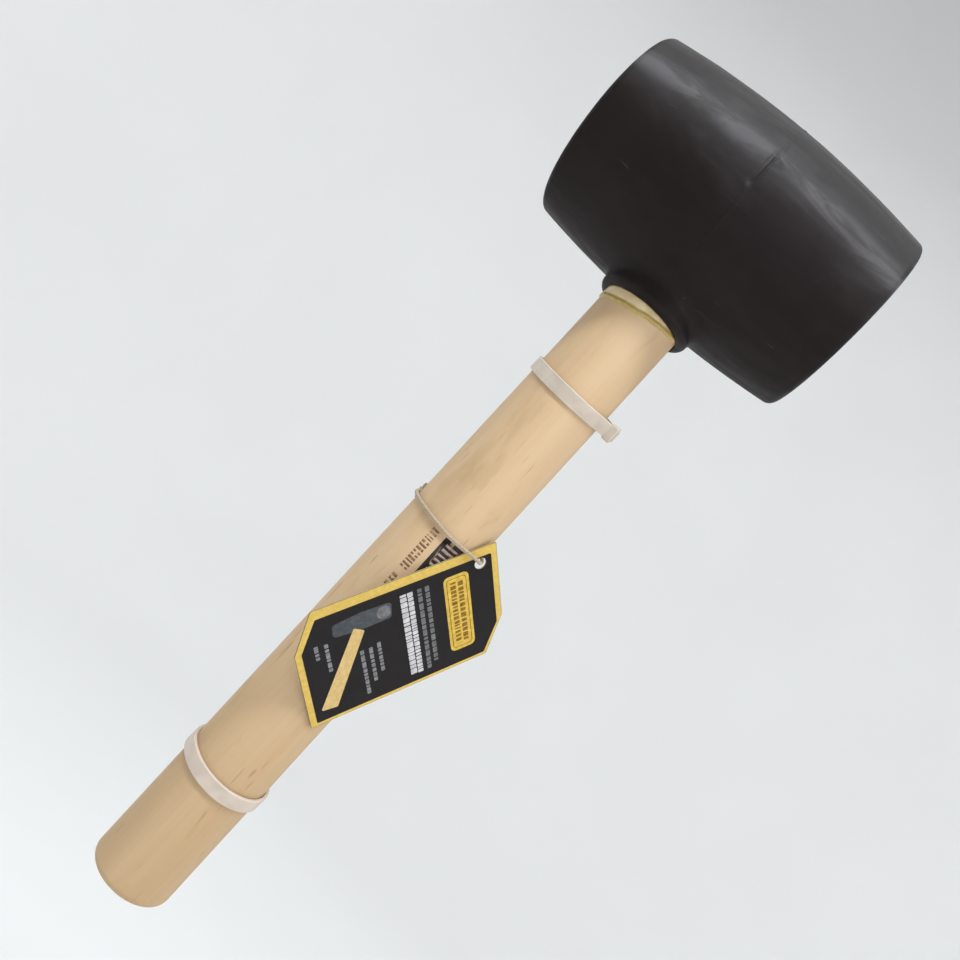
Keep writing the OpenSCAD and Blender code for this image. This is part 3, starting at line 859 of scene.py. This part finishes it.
def make_card(face, edge, inks):
    hole = (-HOLE_X, HOLE_Y)
    outline = rounded(card_corners(), 0.5, 4)
    card = Flat(0.0, CARD_T)
    card.shape(outline, 0, inner=circle(*hole, HOLE_D / 2, 48))
    obj = card.make("printed_card", [face, edge], TAG)
    for p in obj.data.polygons:
        p.material_index = 1 if len(p.vertices) == 4 else 0
    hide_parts("hang_tag")

    yellow, white, grey, tan, dark, pale, gold, steel = range(8)
    art = Flat(CARD_T + 0.005, 0.02)
    art.shape(rounded(card_corners(0.1, 0.1, 0.1), 0.45, 4), yellow, inner=rounded(panel_corners(), 0.5, 4))
    # the maker's block, with rows of plain bars in place of its name
    art.bar(-14.2, 14.2, 14.4, 23.0, gold, 1.8)
    art.shape(rounded([(-13.2, 15.3), (13.2, 15.3), (13.2, 22.1), (-13.2, 22.1)], 1.2), dark, lift=0.01,
              inner=rounded([(-12.95, 15.55), (12.95, 15.55), (12.95, 21.85), (-12.95, 21.85)], 1.0))
    rng = np.random.default_rng(5)
    bars_in_row(art, rng, -11.4, 11.4, 19.1, 20.9, dark, (0.7, 1.9), 0.5, 0.01)
    bars_in_row(art, rng, -11.8, 11.6, 16.5, 18.4, dark, (0.5, 1.5), 0.5, 0.01)
    bars_in_row(art, rng, -14.2, 14.6, 8.3, 9.7, grey, (0.8, 2.4), 0.4)
    bars_in_row(art, rng, -14.2, 17.4, 5.8, 7.2, grey, (0.8, 2.6), 0.4)
    bars_in_row(art, rng, -14.2, 17.0, 2.5, 4.3, white, (0.6, 1.8), 0.25)
    bars_in_row(art, rng, -14.2, 17.0, 0.1, 2.2, white, (0.8, 2.2), 0.25)
    small = 0.6
    for x0, x1, y in ((-1.0, 10.0, -8.5), (-0.3, 12.6, -11.2), (-0.4, 17.2, -14.0),
                      (-7.6, 2.6, -24.0), (-8.1, -2.2, -27.0)):
        bars_in_row(art, rng, x0, x1, y - small, y + small, pale, (0.8, 2.4), 0.35)
    # a small picture of a plain mallet
    head = [(-13.0, -21.3), (-8.7, -21.5), (-7.8, -12.8), (-8.1, -3.2), (-13.5, -2.6), (-13.9, -12.6)]
    art.shape(rounded(head, 1.1), steel)
    art.bar(-13.0, -8.7, -7.6, -3.2, grey, 1.9, lift=0.01)
    art.shape(rounded([(-9.3, -15.1), (15.5, -29.4), (16.2, -24.3), (-7.2, -12.0)], 0.5), tan, lift=0.012)
    obj = art.make("card_print", inks, TAG)

    back = Flat(-0.025, 0.02)
    border = rounded(card_corners(0.1, 0.1, 0.1), 0.45, 4)
    back.shape(border, yellow, inner=rounded(card_corners(2.0, 1.65, 2.6), 0.5, 4))
    for x1, y, h, slot in ((12, 15, 3.0, white), (14, 9.5, 1.0, grey), (10, 6.5, 1.0, grey),
                           (13, 3.5, 1.0, grey), (6, 0.5, 1.0, grey)):
        back.bar(-12, x1, y, y + h, slot, 0.4)
    # a block of upright bars of uneven widths
    for i in range(14):
        x0 = -9 + 1.5 * i
        back.bar(x0, x0 + (0.5, 0.9, 0.35, 0.7, 1.1)[i % 5], -24, -12, white, 0.05)
    obj = back.make("card_back_print", inks, TAG)


# ---------------------------------------------------------------- print on the handle
def make_handle_print(faded, ink, pale):
    """Rows of plain bars printed on the wood, faded, and pale on a dark block."""
    points, faces, slots = [], [], []

    def patch(turn0, turn1, z0, z1, slot, lift):
        nu, nv = max(2, int(abs(turn1 - turn0) / 2)), 2
        base = len(points)
        for layer in (lift, -0.05):
            for j in range(nv + 1):
                for i in range(nu + 1):
                    a = math.radians(turn0 + (turn1 - turn0) * i / nu)
                    r = HANDLE_R + layer
                    points.append((r * math.sin(a), -r * math.cos(a), z0 + (z1 - z0) * j / nv))
        row, n = nu + 1, (nu + 1) * (nv + 1)
        for j in range(nv):
            for i in range(nu):
                a = base + j * row + i
                faces.append((a, a + 1, a + row + 1, a + row))
                faces.append((n + a, n + a + row, n + a + row + 1, n + a + 1))
                slots.extend([slot, slot])
        rim = [i for i in range(nu)] + [nu + j * row for j in range(nv)]
        rim += [n - 1 - i for i in range(nu)] + [(nv - j) * row for j in range(nv)]
        for a, b in zip(rim, rim[1:] + rim[:1]):
            faces.append((base + a, base + n + a, base + n + b, base + b))
            slots.append(slot)

    rng = np.random.default_rng(9)
    left, right, thin = -9.5, 1.5, 0.02
    z = -97.2
    while z > -112.4:
        wide = rng.uniform(0.45, 0.85)
        high = right if rng.uniform() < 0.55 else rng.uniform(-6, -2)
        patch(left, high, z - wide, z, 0, thin)
        if high < 0:
            patch(rng.uniform(-3, -1.5), right, z - wide, z, 0, thin)
        z -= wide + rng.uniform(0.35, 0.6)
    for z0, z1 in ((-115.9, -114.9), (-117.3, -116.3), (-119.4, -118.0)):
        patch(-9.0, -1.5, z0, z1, 0, thin)
    patch(10.5, 50, -119.5, -96.9, 1, 0.03)
    for z0, z1 in ((-99.1, -98.3), (-100.9, -100.0), (-102.6, -101.9), (-104.5, -103.6), (-106.4, -105.5),
                   (-108.6, -107.4), (-110.9, -110.1), (-113.2, -112.1), (-115.8, -114.9)):
        patch(17, 38, z0, z1, 2, 0.045)
    obj = add_mesh("handle_print", points, faces, [faded, ink, pale])
    obj.data.polygons.foreach_set("material_index", slots)


# ---------------------------------------------------------------- string and knot
def on_route(p):
    """A point of the string's route: degrees from the front, distance from the wood, depth."""
    a, r = math.radians(p[0]), HANDLE_R + p[1]
    return (r * math.sin(a), -r * math.cos(a), -p[2])


def make_string(material):
    line = catmull([on_route(p) for p in STRING_ROUTE], 16)
    points, faces = twisted_tube(line, STRING_D / 2 * 0.97, pitch=3.4)
    string = add_mesh("twisted_string", points, faces, material, LOOP)
    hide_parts("tag_string")

    turn = math.radians(KNOT_TURN)
    out, side = np.array([math.sin(turn), -math.cos(turn), 0]), np.array([math.cos(turn), math.sin(turn), 0])
    at = out * (HANDLE_R + KNOT_OUT) + np.array([0, 0, -KNOT_DROP])
    rise = np.array([0, 0, 1.0])
    # a trefoil knot, and the string's two ends
    loop, steps, wide, deep, thread_r = [], 96, 0.33, 0.42, 0.58
    for i in range(steps + 1):
        t = 2 * math.pi * i / steps
        u = (math.sin(t) + 2 * math.sin(2 * t)) * wide
        v = (math.cos(t) - 2 * math.cos(2 * t)) * wide
        w = -math.sin(3 * t) * deep
        loop.append(at + side * u + rise * v + out * w)
    parts = [twisted_tube(loop, thread_r, 2.4, sides=20, up=out)]
    for way, lean in ((-1, -0.2), (1, 0.25)):
        end = [at + rise * way * run + side * lean * share
               for run, share in ((0.6, 0), (1.5, 1), (2.3, 1.6), (TAIL_LEN, 1.8))]
        end[-1] = end[-1] - out * 0.1
        parts.append(twisted_tube(catmull(end, 14), thread_r, 2.8, sides=20, up=out, fray=0.04))
    points, faces = [], []
    for p, f in parts:
        faces += [tuple(i + len(points) for i in q) for q in f]
        points += list(p)
    knot = add_mesh("string_end_knot", points, faces, material, LOOP)
    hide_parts("string_knot")


# ---------------------------------------------------------------- studio
def make_studio(paint):
    """A round floor that curves up into a wall, in metres."""
    flat_r, curve_r, floor_z, steps = 1.1, 0.9, -0.6, 96
    profile = [(0.0, 0.0), (flat_r, 0.0)]
    for degrees in range(5, 91, 5):
        a = math.radians(degrees)
        profile.append((flat_r + curve_r * math.sin(a), curve_r - curve_r * math.cos(a)))
    profile += [(flat_r + curve_r, 1.6), (flat_r + curve_r, 2.6)]
    points, faces = [(0, 0, floor_z)], []
    for r, z in profile[1:]:
        for i in range(steps):
            a = 2 * math.pi * i / steps
            points.append((r * math.cos(a), r * math.sin(a), floor_z + z))
    for i in range(steps):
        faces.append((0, 1 + i, 1 + (i + 1) % steps))
    for j in range(len(profile) - 2):
        for i in range(steps):
            a, b = 1 + j * steps + i, 1 + j * steps + (i + 1) % steps
            faces.append((a, a + steps, b + steps, b))
    obj = add_mesh("studio_floor", points, faces, paint, body=None, scale=1.0)


def make_light(name, at, target, size, power, colour):
    """A soft area light that lights the object but isn't seen itself."""
    data = bpy.data.lights.new(name, "AREA")
    data.shape = "RECTANGLE"
    data.size, data.size_y = size
    data.energy = power
    data.color = colour
    obj = bpy.data.objects.new(name, data)
    bpy.context.scene.collection.objects.link(obj)
    obj.location = at
    obj.rotation_euler = (Vector(target) - Vector(at)).to_track_quat("-Z", "Y").to_euler()
    obj.visible_camera = False


def make_lights():
    world = bpy.data.worlds.new("studio_world")
    world.use_nodes = True
    sky = world.node_tree.nodes["Background"]
    sky.inputs["Color"].default_value = SKY_COLOUR
    sky.inputs["Strength"].default_value = SKY_STRENGTH
    bpy.context.scene.world = world
    for name, light in LIGHTS.items():
        make_light(name, *light)


# ---------------------------------------------------------------- everything
make_camera()
string_material = thread()
make_string(string_material)
make_head(rubber())
make_handle(wood("pale_wood"), wood("wedge_wood", dark=0.72))
make_glue(glue())
make_ties(nylon())
make_card(
    print_finish("card_black", (0.006, 0.0043, 0.0045), (0.0095, 0.0075, 0.008), 0.5),
    cardboard_edge(),
    [
        print_finish("ink_yellow", (0.55, 0.375, 0.08), (0.64, 0.45, 0.115)),
        print_finish("ink_white", (0.42, 0.41, 0.42), (0.62, 0.61, 0.62)),
        print_finish("ink_grey", (0.1, 0.1, 0.105), (0.19, 0.19, 0.195)),
        print_finish("ink_tan", (0.52, 0.36, 0.14), (0.64, 0.46, 0.2)),
        print_finish("ink_dark", (0.16, 0.08, 0.008), (0.28, 0.15, 0.02)),
        print_finish("ink_pale", (0.14, 0.14, 0.15), (0.25, 0.25, 0.26)),
        print_finish("ink_gold", (0.5, 0.325, 0.044), (0.7, 0.475, 0.095)),
        print_finish("ink_steel", (0.045, 0.05, 0.056), (0.075, 0.082, 0.09)),
    ],
)
make_handle_print(
    print_finish("handle_faded", (0.16, 0.09, 0.045), (0.28, 0.17, 0.09), 0.55, wear=0.8),
    print_finish("handle_ink", (0.012, 0.009, 0.008), (0.03, 0.022, 0.018), 0.5, wear=0.5),
    print_finish("handle_bars", (0.3, 0.2, 0.17), (0.5, 0.37, 0.33), 0.5),
)
make_studio(studio_paint())
make_lights()
bpy.context.scene.view_settings.view_transform = "Standard"
